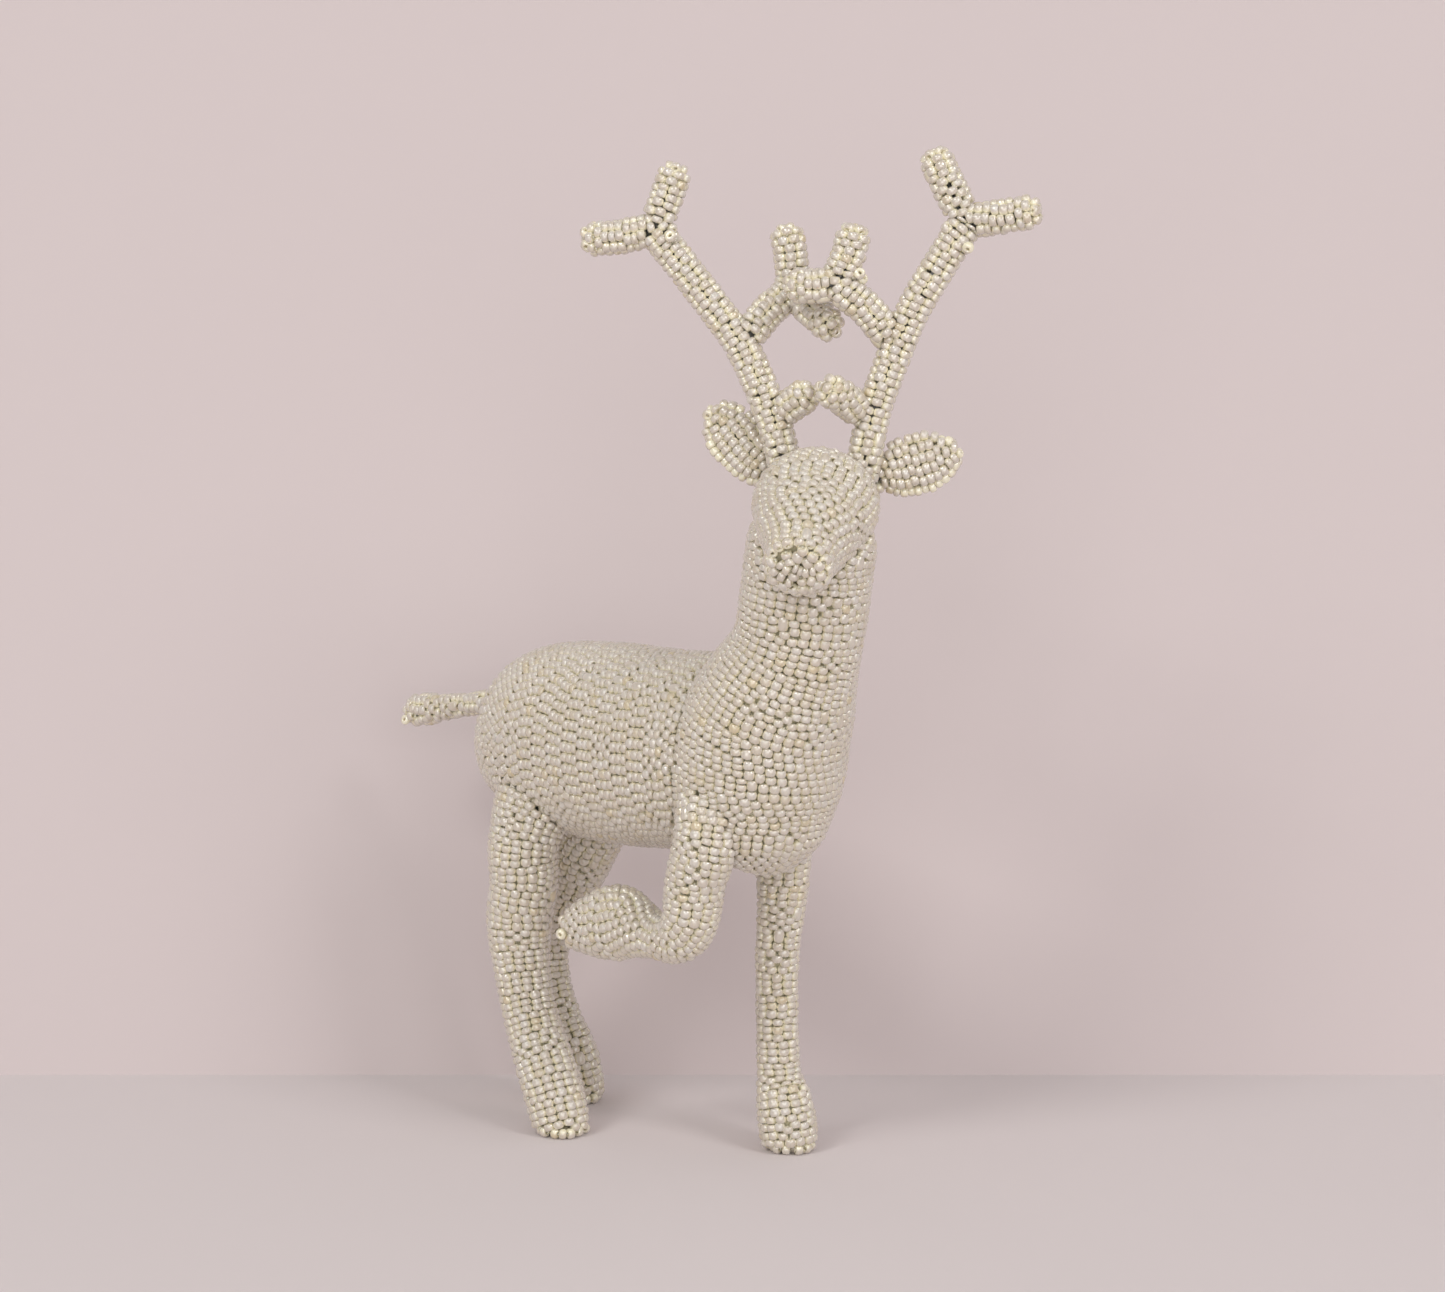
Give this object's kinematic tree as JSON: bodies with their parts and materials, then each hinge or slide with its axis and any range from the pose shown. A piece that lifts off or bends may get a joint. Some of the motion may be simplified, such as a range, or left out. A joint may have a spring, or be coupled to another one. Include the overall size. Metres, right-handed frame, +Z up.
{
  "type": "beaded stag figurine",
  "caption": "Standing stag figurine with branched antlers and one foreleg raised, covered all over in strung glass seed beads.",
  "frame": {"origin": "floor under the middle of the figure's outline", "axes": "+Z up, the stag's body points along -Y, its right side is towards -X, hooves stand on z = 0"},
  "size_m": [0.0543, 0.149, 0.1947],
  "materials": {
    "glass_seed_beads": "opaque pearl lustre, small glossy beads",
    "cotton_padding": "matt wound cotton",
    "armature_wire": "dull grey annealed wire"
  },
  "bodies": {
    "root": {"torso_beads": "glass_seed_beads", "chest_beads": "glass_seed_beads", "neck_beads": "glass_seed_beads", "head_beads": "glass_seed_beads", "muzzle_beads": "glass_seed_beads", "right_ear_beads": "glass_seed_beads", "left_ear_beads": "glass_seed_beads", "tail_beads": "glass_seed_beads", "right_antler_beam_beads": "glass_seed_beads", "right_antler_crown_outer_beads": "glass_seed_beads", "right_antler_crown_upper_beads": "glass_seed_beads", "right_antler_inner_branch_beads": "glass_seed_beads", "right_antler_inner_tine_beads": "glass_seed_beads", "right_antler_brow_tine_beads": "glass_seed_beads", "left_antler_beam_beads": "glass_seed_beads", "left_antler_crown_outer_beads": "glass_seed_beads", "left_antler_crown_upper_beads": "glass_seed_beads", "left_antler_inner_branch_beads": "glass_seed_beads", "left_antler_inner_tine_beads": "glass_seed_beads", "left_antler_brow_tine_beads": "glass_seed_beads", "left_foreleg_upper_beads": "glass_seed_beads", "left_foreleg_shin_beads": "glass_seed_beads", "left_fore_hoof_beads": "glass_seed_beads", "right_foreleg_upper_beads": "glass_seed_beads", "right_foreleg_shin_beads": "glass_seed_beads", "right_fore_hoof_beads": "glass_seed_beads", "right_hindleg_thigh_beads": "glass_seed_beads", "right_hindleg_shin_beads": "glass_seed_beads", "right_hind_hoof_beads": "glass_seed_beads", "left_hindleg_thigh_beads": "glass_seed_beads", "left_hindleg_shin_beads": "glass_seed_beads", "left_hind_hoof_beads": "glass_seed_beads", "body_padding": "cotton_padding", "head_padding": "cotton_padding", "left_foreleg_wrap": "cotton_padding", "right_foreleg_wrap": "cotton_padding", "right_hindleg_wrap": "cotton_padding", "left_hindleg_wrap": "cotton_padding", "spine_wire": "armature_wire", "foreleg_wire": "armature_wire", "hindleg_wire": "armature_wire", "tail_wire": "armature_wire", "right_antler_wires": "armature_wire", "left_antler_wires": "armature_wire", "right_ear_wire": "armature_wire", "left_ear_wire": "armature_wire"}
  },
  "joints": []
}
